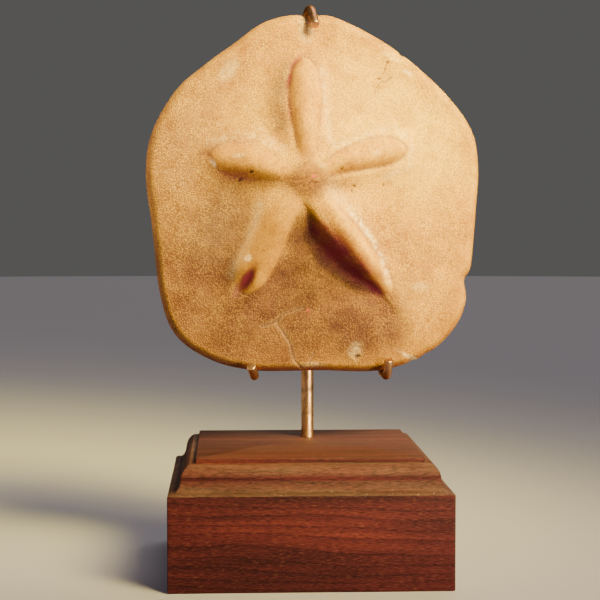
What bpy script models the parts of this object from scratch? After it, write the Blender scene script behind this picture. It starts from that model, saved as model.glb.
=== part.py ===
"""A fossil sea urchin (a pentagonal sea biscuit) held upright on a brass and walnut display stand.

Metres, +Z up, the fossil's petals facing -Y. The origin is the centre of the base's underside.
The wooden base carries a brass post. A top hook and a two-armed cradle, bent from thinner brass
bar, are brazed to the front of the post and hold the fossil by its rim.
"""

import math

import bmesh
import bpy
import numpy as np
from mathutils import Matrix, Vector

MM = 0.001
MESH_GAP = 0.3 * MM            # clearance kept between pieces that touch

# Wooden base: a block whose top edge is worked to an ogee on all four sides.
BASE_WIDTH = 103.0 * MM
BASE_DEPTH = 103.0 * MM
BLOCK_HEIGHT = 35.0 * MM
UNDERSIDE_CHAMFER = 0.5 * MM
# The moulding as (inset from the block's side, height above the block), from the lower ledge up.
LEDGE = [(0.0, 0.0), (1.35, 0.3)]
COVE = [(2.4, 0.5), (3.3, 1.3), (4.1, 2.8), (4.6, 4.4), (4.65, 5.6)]
CROWN = [(5.0, 6.9), (5.6, 8.1), (6.6, 9.3), (7.7, 10.1)]
FILLET = [(9.96, 10.1), (9.96, 11.9)]

# Brass post, glued into a blind hole in the base.
POST_DIAMETER = 4.8 * MM
POST_X = 1.9 * MM
POST_Y = 20.0 * MM
POST_TOP_Z = 101.0 * MM
POST_SEAT_DEPTH = 20.0 * MM
POST_SIDES = 32

# Thinner brass bar of the hook and the cradle, and the braze that joins it to the post's front.
BAR_DIAMETER = 3.4 * MM
BAR_SIDES = 14
CUTTER_SIDES = 24
BRAZE_THICKNESS = 1.2 * MM     # from the post's surface to the bar's surface
BAR_Y = POST_Y - POST_DIAMETER / 2 - BRAZE_THICKNESS - BAR_DIAMETER / 2
BAR_END_CHAMFER = 0.35 * MM

# Hook: straight up the front of the post, round a circle over the fossil's top edge, then a short
# straight run. It leans to the right as it comes forwards.
HOOK_X = 0.4 * MM
HOOK_FOOT_Z = 86.5 * MM
HOOK_CENTRE_Y = 4.1 * MM
HOOK_CENTRE_Z = 203.5 * MM
HOOK_RADIUS = 10.6 * MM
HOOK_SWEEP = math.radians(130)
HOOK_LEAN = 0.13               # sideways for each unit forwards
HOOK_RUN = 7.6 * MM
HOOK_STEPS = 12
HOOK_BRAZE_Z = 93.5 * MM
HOOK_BRAZE_HALF_SIZES = (2.4 * MM, 2.2 * MM, 6.0 * MM)

# Cradle: a crossbar behind the fossil, and two arms that run forwards under its rim and turn up.
CRADLE_CROSS_Z = 81.0 * MM
CRADLE_ARM_Z = 73.2 * MM       # the arms' middle line, 0.3 mm plus the bar's radius under the rim
CRADLE_LEFT_X = -19.6 * MM
CRADLE_LEFT_BEND_Y = -2.7 * MM
CRADLE_LEFT_TIP = (-21.0 * MM, -7.5 * MM, 77.4 * MM)
CRADLE_RIGHT_X = 31.3 * MM
CRADLE_RIGHT_BEND_Y = -3.7 * MM
CRADLE_RIGHT_TIP = (32.1 * MM, -6.4 * MM, 79.6 * MM)
CRADLE_BEND_RADIUS = 3.6 * MM
CRADLE_BEND_STEPS = 5
CRADLE_BRAZE_HALF_SIZES = (3.2 * MM, 2.0 * MM, 3.0 * MM)

# Fossil, in its own plane: x to the right and z up from the middle of the petals.
FOSSIL_CENTRE_Z = 149.0 * MM
OUTLINE_STEPS = 12             # curve points for each outline point
RIM_MID_Y = 4.5 * MM           # middle of the rim's thickness
RIM_HALF_THICKNESS = 6.0 * MM
RIM_ROUNDING = 3.8 * MM
OUTLINE_MM = [
    (67.5, 5), (64.5, 20), (53.5, 34.5), (37, 49), (20, 59), (5, 64), (-14, 61.3), (-27.4, 52.4),
    (-39.4, 43.6), (-50, 34), (-59, 18), (-61.3, 2), (-59, -18), (-56, -44), (-50, -60),
    (-36, -69.8), (-18.5, -73.8), (5, -73.8), (30, -73.8), (48.5, -67), (60, -55), (64, -40),
    (66.6, -12),
]
# Dips in the rim: direction, half width in degrees, depth in millimetres. The first is the notch at
# the lower right, the second the worn seat of the hook.
RIM_DIPS = [(-32.0, 2.6, 2.2), (88.2, 3.8, 1.2)]
SLOPE_RISE = 8.0 * MM          # from the rim to the middle, as one long curve
SWELL_RISE = 6.6 * MM          # the bulge under the petals
SWELL_RADIUS = 26.0 * MM
# Petals. "bow" is how far the middle line bulges to the left, seen looking out along the petal.
# "groove" is the depth of the pore groove on the right and on the left. "ridge" is the height of the
# ridge that carries the petal; it has the share "root" of that height in the middle of the star, loses
# the share "taper" of it towards the petal's tip and falls away beyond the share "end" of the length.
# "flank" gives the ridge's right and left sides as (half width, steepness, share of that width at the
# root, share of it at the tip). Directions are in degrees, lengths in millimetres.
PETALS = [
    {"direction": 91.0, "length": 46.0, "bow": 0.0, "half_width": 6.6, "swelling": 2.8,
     "groove": (0.1, 0.4), "ridge": 6.2, "root": 0.62, "taper": 0.30, "end": 0.82,
     "flank": ((9.0, 3.4, 1.0, 1.0), (10.6, 3.4, 1.0, 1.0))},
    {"direction": 17.4, "length": 39.8, "bow": 2.3, "half_width": 6.0, "swelling": 2.6,
     "groove": (0.8, 0.25), "ridge": 5.0, "root": 0.70, "taper": 0.40, "end": 0.84,
     "flank": ((8.4, 3.6, 1.0, 1.0), (9.5, 2.8, 1.0, 1.0))},
    {"direction": 165.5, "length": 37.2, "bow": -0.5, "half_width": 7.0, "swelling": 2.0,
     "groove": (0.1, 0.1), "ridge": 5.6, "root": 0.70, "taper": 0.45, "end": 0.84,
     "flank": ((10.4, 3.0, 1.0, 0.9), (8.0, 2.7, 1.0, 1.0))},
    {"direction": -53.0, "length": 54.0, "bow": -0.2, "half_width": 5.2, "swelling": 1.4,
     "groove": (0.0, 0.3), "ridge": 9.5, "root": 0.44, "taper": 0.25, "end": 0.72,
     "flank": ((8.8, 6.4, 0.8, 0.34), (5.6, 3.0, 1.0, 0.7))},
    {"direction": -119.5, "length": 49.0, "bow": -1.8, "half_width": 8.2, "swelling": 1.2,
     "groove": (0.1, 0.1), "ridge": 5.8, "root": 0.74, "taper": 0.20, "end": 0.80,
     "flank": ((10.8, 3.0, 1.0, 0.9), (10.0, 3.0, 1.0, 0.9))},
]
RIDGE_FULL_SHARE = 0.45        # share of a petal's length at which its ridge is highest
RIDGE_WIDEST_SHARE = 0.42
RIDGE_END_LENGTH = 9.0 * MM    # over which a ridge falls to half its height beyond its end
RIDGE_MERGE = 5                # the higher, the sharper the valley where two ridges meet
RIDGE_BLEND = 6.0 * MM         # width over which the right flank's shape turns into the left one's
PETAL_ROOT_WIDTH = 0.45        # share of its half width that a petal has in the middle of the star
PETAL_FULL_SHARE = 0.75        # share of its length at which a petal is widest
PETAL_TIP_POWER = 8            # the higher, the blunter the petals' tips
CROWN_POWER = 1.5
SWELLING_START = 0.08          # shares of the length over which the swelling grows
SWELLING_RUN = 0.40
GROOVE_WIDTH = 1.3 * MM
GROOVE_START = 0.12            # shares of the length over which the grooves deepen and run out
GROOVE_RUN = 0.20
GROOVE_END = 0.95
GROOVE_RUN_OUT = 0.06
MIN_SHARE = 1e-4               # keep the petal shapes defined at their ends
MIN_WIDTH = 1e-6
# Oval hollows in millimetres and degrees: middle (x, z), reach along and across, direction, depth.
# The first is the sunken field below the lower right petal, the second the pit at the end of the
# lower left one.
HOLLOWS = [(9.5, -30.0, 16.0, 5.5, -44.0, 2.2), (-23.4, -39.0, 6.0, 2.5, 58.0, 2.6)]
MOUTH_DEPTH = 6.0 * MM         # on the flat underside of the animal, which faces backwards
MOUTH_RADIUS = 5.0 * MM
UNDERSIDE_HOLLOW = 1.8 * MM
HOLLOW_RADIUS = 26.0 * MM
VENT_Z = -64.0 * MM
VENT_DEPTH = 2.0 * MM
VENT_RADIUS = 2.2 * MM
ANGULAR_STEPS = 128
FRONT_RINGS = 30               # between the rounded rim and the middle
BACK_RINGS = 8
RIM_RINGS = 4                  # on the rounding itself, on each side


def remove_scene_objects():
    for scene_object in list(bpy.data.objects):
        bpy.data.objects.remove(scene_object, do_unlink=True)


def make_material(name, colour, roughness, metallic):
    material = bpy.data.materials.new(name)
    material.use_nodes = True
    shader = material.node_tree.nodes["Principled BSDF"]
    shader.inputs["Base Color"].default_value = (*colour, 1.0)
    shader.inputs["Roughness"].default_value = roughness
    shader.inputs["Metallic"].default_value = metallic
    return material


def add_object(name, mesh_builder, material, smooth_angle=None):
    """Turn a bmesh into a named object, with its faces pointing outwards."""
    bmesh.ops.recalc_face_normals(mesh_builder, faces=mesh_builder.faces)
    mesh = bpy.data.meshes.new(name)
    mesh_builder.to_mesh(mesh)
    mesh_builder.free()
    if material is not None:
        mesh.materials.append(material)
    if smooth_angle is not None:
        mesh.shade_smooth()
        mesh.set_sharp_from_angle(angle=math.radians(smooth_angle))
    new_object = bpy.data.objects.new(name, mesh)
    bpy.context.scene.collection.objects.link(new_object)
    return new_object


def bridge_rings(builder, rings):
    """Join each ring of vertices to the next one with four-sided faces."""
    for lower, upper in zip(rings, rings[1:]):
        count = len(lower)
        for index in range(count):
            following = (index + 1) % count
            builder.faces.new((lower[index], lower[following], upper[following], upper[index]))


def subtract(target, cutter):
    """Cut one object from another; the cutter stays as a hidden guide."""
    cutter.hide_render = True
    cutter.display_type = "WIRE"
    cut = target.modifiers.new("cut_" + cutter.name, "BOOLEAN")
    cut.operation = "DIFFERENCE"
    cut.solver = "EXACT"
    cut.object = cutter


# ---------------------------------------------------------------- wooden base

def base_profile():
    """The side of the base as (inset, height) in metres, from the underside to the top face."""
    profile = [(UNDERSIDE_CHAMFER, 0.0), (0.0, UNDERSIDE_CHAMFER)]
    for inset, height in LEDGE + COVE + CROWN + FILLET:
        profile.append((inset * MM, BLOCK_HEIGHT + height * MM))
    return profile


def base_top_z():
    return base_profile()[-1][1]


def make_base(material):
    builder = bmesh.new()
    rings = []
    for inset, height in base_profile():
        half_x = BASE_WIDTH / 2 - inset
        half_y = BASE_DEPTH / 2 - inset
        corners = [(-half_x, -half_y), (half_x, -half_y), (half_x, half_y), (-half_x, half_y)]
        rings.append([builder.verts.new((x, y, height)) for x, y in corners])
    bridge_rings(builder, rings)
    builder.faces.new(list(reversed(rings[0])))
    builder.faces.new(rings[-1])
    base = add_object("wood_base", builder, material, smooth_angle=25)

    hole_bottom = base_top_z() - POST_SEAT_DEPTH - MESH_GAP
    hole_top = base_top_z() + 10 * MM
    path = [Vector((POST_X, POST_Y, hole_bottom)), Vector((POST_X, POST_Y, hole_top))]
    cutter = sweep_bar("post_hole_cutter", path, POST_DIAMETER / 2 + MESH_GAP, POST_SIDES, 0.0, None)
    subtract(base, cutter)
    return base


# ---------------------------------------------------------------- round bars

def sweep_bar(name, path, radius, sides, chamfer, material):
    """A round bar along a path of points, with flat ends and a small chamfer round each end."""
    builder = bmesh.new()
    tangents = []
    for index in range(len(path)):
        before = path[max(index - 1, 0)]
        after = path[min(index + 1, len(path) - 1)]
        tangents.append((after - before).normalized())
    side = tangents[0].orthogonal().normalized()

    stations = [(path[0], tangents[0], radius - chamfer)]
    if chamfer > 0:
        stations.append((path[0] + tangents[0] * chamfer, tangents[0], radius))
    for point, tangent in zip(path[1:-1], tangents[1:-1]):
        stations.append((point, tangent, radius))
    if chamfer > 0:
        stations.append((path[-1] - tangents[-1] * chamfer, tangents[-1], radius))
    stations.append((path[-1], tangents[-1], radius - chamfer))

    rings = []
    for point, tangent, ring_radius in stations:
        side = (side - tangent * side.dot(tangent)).normalized()
        across = tangent.cross(side)
        ring = []
        for step in range(sides):
            angle = 2 * math.pi * step / sides
            offset = side * math.cos(angle) + across * math.sin(angle)
            ring.append(builder.verts.new(point + offset * ring_radius))
        rings.append(ring)
    bridge_rings(builder, rings)
    builder.faces.new(list(reversed(rings[0])))
    builder.faces.new(rings[-1])
    return add_object(name, builder, material, smooth_angle=40)


def bend_path(corners, bend_radius, steps):
    """Round the inner corners of a path of straight runs, as a bar is bent round a former."""
    path = [Vector(corners[0])]
    for before, corner, after in zip(corners, corners[1:], corners[2:]):
        corner = Vector(corner)
        incoming = (Vector(before) - corner).normalized()
        outgoing = (Vector(after) - corner).normalized()
        half_angle = incoming.angle(outgoing) / 2
        reach = bend_radius / math.tan(half_angle)
        centre = corner + (incoming + outgoing).normalized() * (bend_radius / math.sin(half_angle))
        start = corner + incoming * reach - centre
        turn_axis = start.cross(corner + outgoing * reach - centre).normalized()
        turn = math.pi - 2 * half_angle
        for step in range(steps + 1):
            rotation = Matrix.Rotation(turn * step / steps, 3, turn_axis)
            path.append(centre + rotation @ start)
    path.append(Vector(corners[-1]))
    return path


def make_post(material):
    foot = Vector((POST_X, POST_Y, base_top_z() - POST_SEAT_DEPTH))
    head = Vector((POST_X, POST_Y, POST_TOP_Z))
    return sweep_bar("brass_post", [foot, head], POST_DIAMETER / 2, POST_SIDES, 0.5 * MM, material)


def hook_path():
    """Up behind the fossil, over its top edge and down in front, leaning a little to the right."""
    path = [Vector((HOOK_X, BAR_Y, HOOK_FOOT_Z)), Vector((HOOK_X, BAR_Y, POST_TOP_Z))]
    for step in range(HOOK_STEPS + 1):
        angle = HOOK_SWEEP * step / HOOK_STEPS
        y = HOOK_CENTRE_Y + HOOK_RADIUS * math.cos(angle)
        z = HOOK_CENTRE_Z + HOOK_RADIUS * math.sin(angle)
        path.append(Vector((HOOK_X + HOOK_LEAN * (BAR_Y - y), y, z)))
    forward = HOOK_RUN * math.sin(HOOK_SWEEP)
    down = -HOOK_RUN * math.cos(HOOK_SWEEP)
    path.append(path[-1] + Vector((HOOK_LEAN * forward, -forward, -down)))
    return path


def cradle_path():
    """Along one arm from its tip, up to the crossbar and along it, then down and along the other arm."""
    corners = [
        CRADLE_LEFT_TIP,
        (CRADLE_LEFT_X, CRADLE_LEFT_BEND_Y, CRADLE_ARM_Z),
        (CRADLE_LEFT_X, BAR_Y, CRADLE_ARM_Z),
        (CRADLE_LEFT_X, BAR_Y, CRADLE_CROSS_Z),
        (CRADLE_RIGHT_X, BAR_Y, CRADLE_CROSS_Z),
        (CRADLE_RIGHT_X, BAR_Y, CRADLE_ARM_Z),
        (CRADLE_RIGHT_X, CRADLE_RIGHT_BEND_Y, CRADLE_ARM_Z),
        CRADLE_RIGHT_TIP,
    ]
    return bend_path(corners, CRADLE_BEND_RADIUS, CRADLE_BEND_STEPS)


def make_hook(material):
    return sweep_bar("top_hook", hook_path(), BAR_DIAMETER / 2, BAR_SIDES, BAR_END_CHAMFER, material)


def make_cradle(material):
    path = cradle_path()
    return sweep_bar("lower_cradle", path, BAR_DIAMETER / 2, BAR_SIDES, BAR_END_CHAMFER, material)


def make_braze(name, bar_point, bar_axis, half_sizes, material):
    """Braze metal that fills the corners between the post and a bar in front of it."""
    builder = bmesh.new()
    bmesh.ops.create_uvsphere(builder, u_segments=20, v_segments=12, radius=1.0)
    joint_y = POST_Y - POST_DIAMETER / 2 - BRAZE_THICKNESS / 2
    centre = Vector(((bar_point.x + POST_X) / 2, joint_y, bar_point.z))
    scaling = Matrix.Diagonal((*half_sizes, 1.0))
    bmesh.ops.transform(builder, matrix=Matrix.Translation(centre) @ scaling, verts=builder.verts)
    braze = add_object(name, builder, material, smooth_angle=40)

    reach = 20 * MM
    post_axis = Vector((0, 0, reach))
    post_middle = Vector((POST_X, POST_Y, centre.z))
    post_line = [post_middle - post_axis, post_middle + post_axis]
    post_radius = POST_DIAMETER / 2 + MESH_GAP
    subtract(braze, sweep_bar(name + "_post_cutter", post_line, post_radius, POST_SIDES, 0.0, None))
    bar_line = [bar_point - bar_axis * reach, bar_point + bar_axis * reach]
    bar_radius = BAR_DIAMETER / 2 + MESH_GAP
    subtract(braze, sweep_bar(name + "_bar_cutter", bar_line, bar_radius, CUTTER_SIDES, 0.0, None))
    return braze


# ---------------------------------------------------------------- fossil

def closed_curve(points, steps_per_span):
    """A smooth closed curve (Catmull-Rom) through the given points."""
    points = np.array(points, dtype=float)
    before = np.roll(points, 1, axis=0)
    after = np.roll(points, -1, axis=0)
    later = np.roll(points, -2, axis=0)
    curve = []
    for step in range(steps_per_span):
        t = step / steps_per_span
        curve.append(0.5 * (2 * points + (after - before) * t
                            + (2 * before - 5 * points + 4 * after - later) * t ** 2
                            + (3 * points - before - 3 * after + later) * t ** 3))
    return np.stack(curve, axis=1).reshape(-1, 2)


def outline_radius(angles):
    """Distance from the middle of the petals to the rim, in each direction."""
    curve = closed_curve(OUTLINE_MM, OUTLINE_STEPS) * MM
    curve_angles = np.arctan2(curve[:, 1], curve[:, 0])
    order = np.argsort(curve_angles)
    radii = np.hypot(curve[:, 0], curve[:, 1])
    radius = np.interp(angles, curve_angles[order], radii[order], period=2 * math.pi)
    for direction, half_width, depth in RIM_DIPS:
        away = (angles - math.radians(direction) + math.pi) % (2 * math.pi) - math.pi
        radius = radius - depth * MM * np.exp(-(away / math.radians(half_width)) ** 2)
    return radius


def smooth_step(value):
    value = np.clip(value, 0.0, 1.0)
    return value * value * (3 - 2 * value)


def petal_frame(x, z, petal):
    """Places in a petal's own terms: share of its length from the middle, and distance to its left."""
    angle = math.radians(petal["direction"])
    share = (x * math.cos(angle) + z * math.sin(angle)) / (petal["length"] * MM)
    inside = np.clip(share, 0.0, 1.0)
    middle_line = petal["bow"] * MM * 4 * inside * (1 - inside)
    return share, -x * math.sin(angle) + z * math.cos(angle) - middle_line


def petal_half_width(share, petal):
    share = np.clip(share, MIN_SHARE, 1.0)
    opening = PETAL_ROOT_WIDTH + (1 - PETAL_ROOT_WIDTH) * smooth_step(share / PETAL_FULL_SHARE)
    tip = np.sqrt(1 - share ** PETAL_TIP_POWER)
    return petal["half_width"] * MM * opening * tip + MIN_WIDTH


def flank_shape(share, flank):
    """(half width, steepness) of one side of a ridge, narrowing towards its root and its tip."""
    width, steepness, root, tip = flank
    beyond = (share - RIDGE_WIDEST_SHARE) / (1 - RIDGE_WIDEST_SHARE)
    opening = root + (1 - root) * smooth_step(share / RIDGE_WIDEST_SHARE)
    closing = 1 - (1 - tip) * smooth_step(beyond)
    return width * MM * opening * closing, steepness


def ridge_height(share, petal):
    """Height of a ridge along its crest, up to the share of the length where it ends."""
    growth = petal["root"] + (1 - petal["root"]) * smooth_step(share / RIDGE_FULL_SHARE)
    loss = petal["taper"] * smooth_step((share - RIDGE_FULL_SHARE) / (1 - RIDGE_FULL_SHARE))
    return petal["ridge"] * MM * growth * (1 - loss)


def star_ridges(x, z):
    """The five ridges that carry the petals and meet in the middle."""
    total = np.zeros_like(x)
    for petal in PETALS:
        share, across = petal_frame(x, z, petal)
        right_width, right_steepness = flank_shape(share, petal["flank"][0])
        left_width, left_steepness = flank_shape(share, petal["flank"][1])
        leftness = smooth_step(0.5 + across / RIDGE_BLEND)
        width = right_width + (left_width - right_width) * leftness
        steepness = right_steepness + (left_steepness - right_steepness) * leftness
        past_end = np.maximum(share - petal["end"], 0) * petal["length"] * MM / RIDGE_END_LENGTH
        behind = np.maximum(-share, 0) * petal["length"] * MM / RIDGE_END_LENGTH
        height = ridge_height(share, petal) / (1 + np.abs(across / width) ** steepness)
        total += (height / (1 + past_end ** 3 + behind ** 3)) ** RIDGE_MERGE
    return total ** (1 / RIDGE_MERGE)


def petal_fields(x, z):
    """(swelling, groove) of the petals on their ridges, in metres."""
    swelling = np.zeros_like(x)
    grooves = np.zeros_like(x)
    for petal in PETALS:
        share, across = petal_frame(x, z, petal)
        width = petal_half_width(share, petal)
        ratio = np.clip(np.abs(across) / width, 0.0, 1.0)
        tip = np.sqrt(1 - np.clip(share, 0, 1) ** PETAL_TIP_POWER)
        crown = (1 - ratio ** 2) ** CROWN_POWER * tip
        inside = (share > 0) & (share < 1)
        growth = smooth_step((share - SWELLING_START) / SWELLING_RUN)
        rise = petal["swelling"] * MM * growth * crown
        swelling = np.maximum(swelling, np.where(inside, rise, 0.0))
        beyond = np.abs(across) - width
        groove_right, groove_left = petal["groove"]
        depth = np.where(across > 0, groove_left, groove_right) * MM
        deepening = smooth_step((share - GROOVE_START) / GROOVE_RUN)
        run_out = 1 - smooth_step((share - GROOVE_END) / GROOVE_RUN_OUT)
        profile = np.exp(-(beyond / GROOVE_WIDTH) ** 2)
        grooves = np.maximum(grooves, depth * deepening * run_out * profile)
    return swelling, grooves


def oval_hollow(x, z, hollow):
    """Depth of an oval hollow, fading out around it."""
    middle_x, middle_z, long_reach, short_reach, direction, depth = hollow
    angle = math.radians(direction)
    from_x = x / MM - middle_x
    from_z = z / MM - middle_z
    along = (from_x * math.cos(angle) + from_z * math.sin(angle)) / long_reach
    across = (-from_x * math.sin(angle) + from_z * math.cos(angle)) / short_reach
    return depth * MM * np.exp(-(along ** 2 + across ** 2) ** 1.5)


def rim_height(to_outline):
    """Half of the rim's thickness, rounded off towards the outline."""
    inward = np.clip(to_outline / RIM_ROUNDING, 0.0, 1.0)
    return RIM_HALF_THICKNESS * np.sqrt(1 - (1 - inward) ** 2)


def front_height(x, z, radius_limit):
    distance = np.hypot(x, z)
    swelling, grooves = petal_fields(x, z)
    height = rim_height(radius_limit - distance)
    height += SLOPE_RISE * (1 - (distance / radius_limit) ** 2)
    height += SWELL_RISE * np.exp(-(distance / SWELL_RADIUS) ** 2)
    height += star_ridges(x, z) + swelling - grooves
    for hollow in HOLLOWS:
        height -= oval_hollow(x, z, hollow)
    return height


def back_height(x, z, radius_limit):
    distance = np.hypot(x, z)
    height = rim_height(radius_limit - distance)
    height -= UNDERSIDE_HOLLOW * np.exp(-(distance / HOLLOW_RADIUS) ** 2)
    height -= MOUTH_DEPTH * np.exp(-(distance / MOUTH_RADIUS) ** 4)
    height -= VENT_DEPTH * np.exp(-(np.hypot(x, z - VENT_Z) / VENT_RADIUS) ** 2)
    return height


def ring_radii(limit, count):
    """Radii of the rings from the rim inwards: close together on the rounding, then evenly spaced."""
    radii = []
    for step in range(1, RIM_RINGS + 1):
        inset = RIM_ROUNDING * (1 - math.cos(math.pi / 2 * step / RIM_RINGS))
        radii.append(limit - inset)
    for step in range(1, count):
        radii.append((limit - RIM_ROUNDING) * (1 - step / count))
    return radii


def fossil_side(builder, rim, limit, height_of, facing, rings_count):
    """One face of the fossil: rings from just inside the rim to a single middle vertex."""
    angles = np.linspace(0, 2 * math.pi, ANGULAR_STEPS, endpoint=False)
    rings = [rim]
    for radius in ring_radii(limit, rings_count):
        x = radius * np.cos(angles)
        z = radius * np.sin(angles)
        y = RIM_MID_Y + facing * height_of(x, z, limit)
        ring = []
        for index in range(ANGULAR_STEPS):
            ring.append(builder.verts.new((x[index], y[index], FOSSIL_CENTRE_Z + z[index])))
        rings.append(ring)
    bridge_rings(builder, rings)
    zero = np.zeros(1)
    middle_y = RIM_MID_Y + facing * height_of(zero, zero, limit[:1])[0]
    middle = builder.verts.new((0.0, middle_y, FOSSIL_CENTRE_Z))
    for index in range(ANGULAR_STEPS):
        builder.faces.new((rings[-1][index], rings[-1][(index + 1) % ANGULAR_STEPS], middle))


def make_fossil(material):
    builder = bmesh.new()
    angles = np.linspace(0, 2 * math.pi, ANGULAR_STEPS, endpoint=False)
    limit = outline_radius(angles)
    rim = []
    for angle, radius in zip(angles, limit):
        place = (radius * math.cos(angle), RIM_MID_Y, FOSSIL_CENTRE_Z + radius * math.sin(angle))
        rim.append(builder.verts.new(place))
    fossil_side(builder, rim, limit, front_height, -1, FRONT_RINGS)
    fossil_side(builder, rim, limit, back_height, 1, BACK_RINGS)
    return add_object("sea_urchin_fossil", builder, material, smooth_angle=60)


def main():
    remove_scene_objects()
    stone = make_material("fossil_stone", (0.62, 0.40, 0.19), 0.75, 0.0)
    walnut = make_material("stained_walnut", (0.11, 0.040, 0.020), 0.45, 0.0)
    brass = make_material("brass_bar", (0.55, 0.32, 0.14), 0.32, 1.0)
    filler = make_material("braze_metal", (0.60, 0.42, 0.20), 0.40, 1.0)

    make_fossil(stone)
    make_base(walnut)
    make_post(brass)
    make_hook(brass)
    make_cradle(brass)

    hook_joint = Vector((HOOK_X, BAR_Y, HOOK_BRAZE_Z))
    make_braze("hook_braze", hook_joint, Vector((0, 0, 1)), HOOK_BRAZE_HALF_SIZES, filler)
    cradle_joint = Vector((POST_X, BAR_Y, CRADLE_CROSS_Z))
    make_braze("cradle_braze", cradle_joint, Vector((1, 0, 0)), CRADLE_BRAZE_HALF_SIZES, filler)


main()
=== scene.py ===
import math

import bmesh
import bpy
import numpy as np
from mathutils import Matrix, Vector, noise


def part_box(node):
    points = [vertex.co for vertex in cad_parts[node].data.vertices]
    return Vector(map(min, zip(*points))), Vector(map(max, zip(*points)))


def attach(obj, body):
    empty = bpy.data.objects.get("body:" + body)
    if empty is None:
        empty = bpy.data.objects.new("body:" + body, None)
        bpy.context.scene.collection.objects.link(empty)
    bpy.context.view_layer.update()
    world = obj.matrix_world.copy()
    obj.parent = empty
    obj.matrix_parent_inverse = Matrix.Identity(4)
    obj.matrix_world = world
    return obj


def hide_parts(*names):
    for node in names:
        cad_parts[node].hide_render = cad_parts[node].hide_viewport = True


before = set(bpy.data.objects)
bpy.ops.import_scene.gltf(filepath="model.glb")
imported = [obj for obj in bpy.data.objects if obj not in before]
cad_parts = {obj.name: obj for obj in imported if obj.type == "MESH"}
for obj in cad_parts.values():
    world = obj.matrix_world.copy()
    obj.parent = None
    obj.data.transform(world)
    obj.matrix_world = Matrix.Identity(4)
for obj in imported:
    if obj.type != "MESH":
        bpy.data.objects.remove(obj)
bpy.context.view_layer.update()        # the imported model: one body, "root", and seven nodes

MM = 0.001

# ------------------------ sizes, as the parts in model.glb give them

base_low, base_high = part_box("wood_base")
post_low, post_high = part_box("brass_post")
fossil_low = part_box("sea_urchin_fossil")[0]
POST_X = (post_low.x + post_high.x) / 2
POST_Y = (post_low.y + post_high.y) / 2
POST_RADIUS = (post_high.x - post_low.x) / 2
BASE_TOP = base_high.z
BAR_RADIUS = 1.7 * MM
BAR_GAP = 1.2 * MM           # between the post and the thinner bars, where the braze sits
BAR_Y = POST_Y - POST_RADIUS - BAR_GAP - BAR_RADIUS
RIM_MID_Y = 4.5 * MM
CENTRE_ABOVE_FOOT = 73.9 * MM  # the middle of the petals, above the fossil's lowest point
FOSSIL_CENTRE_Z = fossil_low.z + CENTRE_ABOVE_FOOT

BASE_HALF = (base_high.x - base_low.x) / 2
CORNER_RADIUS = 0.5 * MM
CORNER_STEPS = 5
# Side of the base as (inset, height) in millimetres: block, ledge, cove, crown and top fillet.
BASE_PROFILE = [
    (0.5, 0), (0.15, 0.15), (0, 0.5), (0, 34.2), (0.08, 34.65), (0.3, 34.92), (0.7, 35.1), (1.35, 35.3),
    (1.9, 35.35), (2.4, 35.5), (2.9, 35.85), (3.3, 36.3), (3.75, 37), (4.1, 37.8), (4.38, 38.6),
    (4.6, 39.4), (4.68, 40), (4.65, 40.6), (4.78, 41.3), (5, 41.9), (5.25, 42.5), (5.6, 43.1),
    (6.05, 43.7), (6.6, 44.3), (7.15, 44.75), (7.7, 45.1), (9.75, 45.1), (9.96, 45.25), (9.96, 46.55),
    (10.05, 46.78), (10.3, 46.9),
]
HOLE_DEPTH = 20.0 * MM
HOLE_CHAMFER = 0.25 * MM
HOLE_GAP = 0.12 * MM         # round the post, in the hole and at its mouth
HOLE_MOUTH_GAP = 0.30 * MM
FILED_EDGE = 0.4 * MM        # of the bars' cut ends
FILED_STEPS = 4
POST_SIDES = 48
BAR_SIDES = 32
POST_STATIONS = (26.9, 45.0, 65.0, 85.0)    # heights in millimetres, below the post's top
HOOK_CENTRE_Y = 4.1 * MM
HOOK_CENTRE_Z = 203.5 * MM
HOOK_RADIUS = 10.6 * MM
HOOK_SWEEP = math.radians(130.0)
HOOK_LEAN = 0.13
HOOK_RUN = 7.6 * MM
HOOK_X = 0.4 * MM
HOOK_FOOT_Z = 86.5 * MM
# Cradle, in millimetres: its two arms, its crossbar, and the bends and tips in front.
CRADLE_LEFT, CRADLE_RIGHT = -19.6, 31.3
CRADLE_LOW, CROSSBAR_HIGH = 73.2, 81.0
LEFT_BEND_Y, RIGHT_BEND_Y = -2.7, -3.7
LEFT_TIP, RIGHT_TIP = (-21.0, -7.5, 77.4), (32.1, -6.4, 79.6)
CRADLE_BEND = 3.6 * MM

# ------------------------ fossil: form

RIM_HALF_THICKNESS = 6.0 * MM
RIM_ROUNDING = 3.8 * MM
OUTLINE_MM = [
    (67.5, 5), (64.5, 20), (53.5, 34.5), (37, 49), (20, 59), (5, 64), (-14, 61.3), (-27.4, 52.4),
    (-39.4, 43.6), (-50, 34), (-59, 18), (-61.3, 2), (-59, -18), (-56, -44), (-50, -60),
    (-36, -69.8), (-18.5, -73.8), (5, -73.8), (30, -73.8), (48.5, -67), (60, -55), (64, -40),
    (66.6, -12),
]
# Dips in the rim: direction, half width in degrees, depth in millimetres. The first is the notch at
# the lower right, the second the worn seat of the hook, the rest small nicks.
RIM_DIPS = [(-32.0, 2.6, 2.2), (88.2, 3.8, 1.2), (52.3, 1.2, 0.5), (-55.0, 1.4, 0.4), (-59.5, 1.0, 0.4)]
SLOPE_RISE = 8.0 * MM
SWELL_RISE = 6.0 * MM
SWELL_RADIUS = 26.0 * MM
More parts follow.
